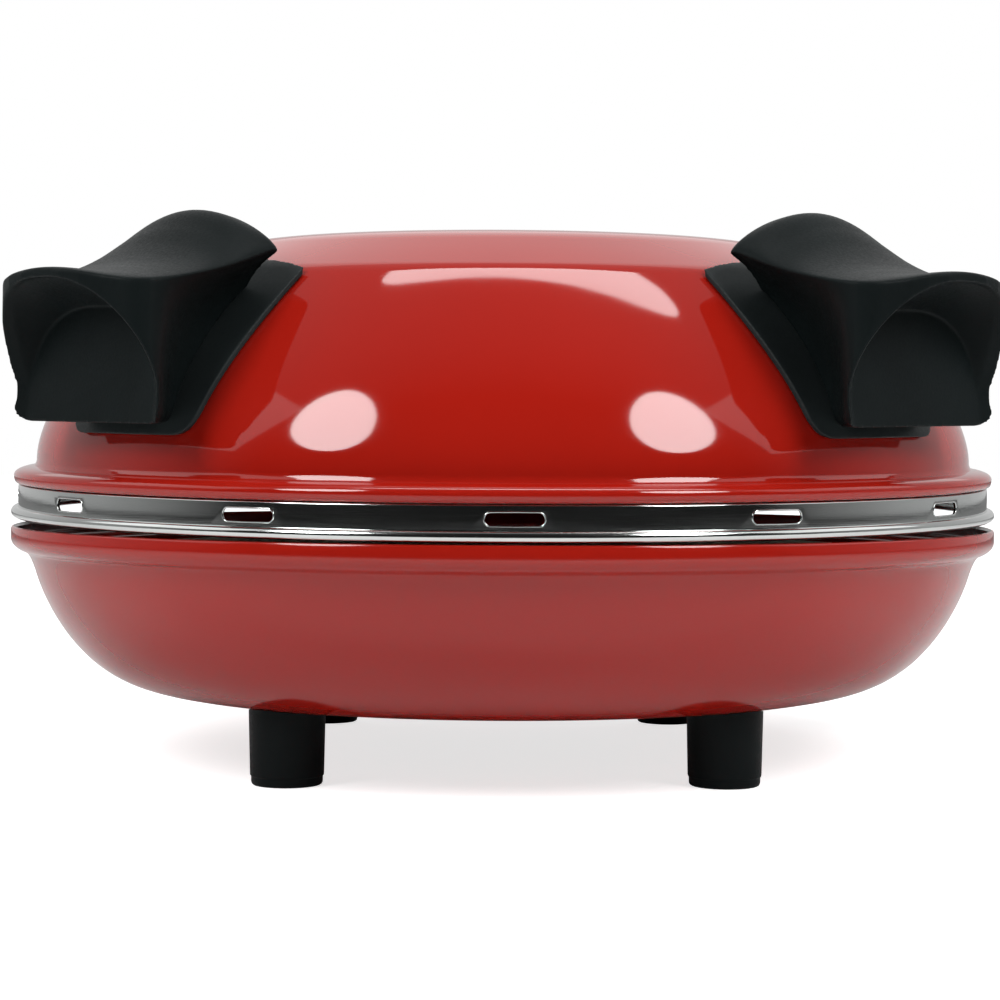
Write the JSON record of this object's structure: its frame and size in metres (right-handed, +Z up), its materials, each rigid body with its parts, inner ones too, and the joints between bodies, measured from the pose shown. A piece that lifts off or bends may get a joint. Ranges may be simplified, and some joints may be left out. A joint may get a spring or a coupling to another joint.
{
  "type": "countertop pizza oven",
  "caption": "Round electric countertop pizza oven: an enamelled bowl on feet with a baking stone, under a hinged enamelled dome on a slotted steel band, with two moulded grips.",
  "frame": {"origin": "on the table, in the middle of the footprint", "axes": "+Z up, -Y towards the user, so the grips are at -Y and the hinge at +Y"},
  "size_m": [0.3663, 0.384, 0.196],
  "materials": {
    "red_enamel": "glossy",
    "black_plastic": "satin",
    "bright_steel": "polished",
    "zinc_steel": "zinc plated",
    "heater_sheath": "dull",
    "white_ceramic": "matte",
    "cordierite": "matte",
    "red_lamp": "glossy",
    "amber_lamp": "glossy"
  },
  "bodies": {
    "base": {"baking_stone": "cordierite", "base_reflector": "bright_steel", "base_shell": "red_enamel", "base_terminal_bush": "white_ceramic", "cable_gland": "black_plastic", "control_housing": "black_plastic", "foot_front_left": "black_plastic", "foot_front_right": "black_plastic", "foot_rear_left": "black_plastic", "foot_rear_right": "black_plastic", "foot_screw_front_left": "zinc_steel", "foot_screw_front_right": "zinc_steel", "foot_screw_rear_left": "zinc_steel", "foot_screw_rear_right": "zinc_steel", "heat_lamp": "amber_lamp", "heat_shield": "bright_steel", "hinge_base_bracket": "zinc_steel", "hinge_base_screw_a": "zinc_steel", "hinge_base_screw_b": "zinc_steel", "hinge_pin": "zinc_steel", "housing_screw_a": "zinc_steel", "housing_screw_b": "zinc_steel", "lower_clip_a": "bright_steel", "lower_clip_b": "bright_steel", "lower_clip_c": "bright_steel", "lower_element": "heater_sheath", "power_lamp": "red_lamp", "reflector_spacer_front_left": "zinc_steel", "reflector_spacer_front_right": "zinc_steel", "reflector_spacer_rear_left": "zinc_steel", "reflector_spacer_rear_right": "zinc_steel", "thermostat_body": "bright_steel"},
    "lid": {"band_rivet_front": "zinc_steel", "band_rivet_left": "zinc_steel", "band_rivet_right": "zinc_steel", "handle_left": "black_plastic", "handle_left_mount": "black_plastic", "handle_right": "black_plastic", "handle_right_mount": "black_plastic", "handle_screw_left_a": "zinc_steel", "handle_screw_left_b": "zinc_steel", "handle_screw_right_a": "zinc_steel", "handle_screw_right_b": "zinc_steel", "hinge_lid_arm": "zinc_steel", "hinge_lid_rivet_a": "zinc_steel", "hinge_lid_rivet_b": "zinc_steel", "lid_reflector": "bright_steel", "lid_shell": "red_enamel", "lid_terminal_bush": "white_ceramic", "lid_terminal_cover": "black_plastic", "upper_clip_a": "bright_steel", "upper_clip_b": "bright_steel", "upper_clip_c": "bright_steel", "upper_element": "heater_sheath", "vent_band": "bright_steel"},
    "knob": {"thermostat_knob": "black_plastic", "thermostat_shaft": "zinc_steel"}
  },
  "joints": [
    {"name": "lid_hinge", "type": "hinge", "parent": "base", "child": "lid", "pos_m": [0, 0.185, 0.099], "axis": [-1, 0, 0], "range_deg": [0, 180]},
    {"name": "thermostat_turn", "type": "hinge", "parent": "base", "child": "knob", "pos_m": [0.14988, 0.09089, 0.05425], "axis": [0.808, 0.4665, -0.3597], "range_deg": [0, 270]}
  ]
}
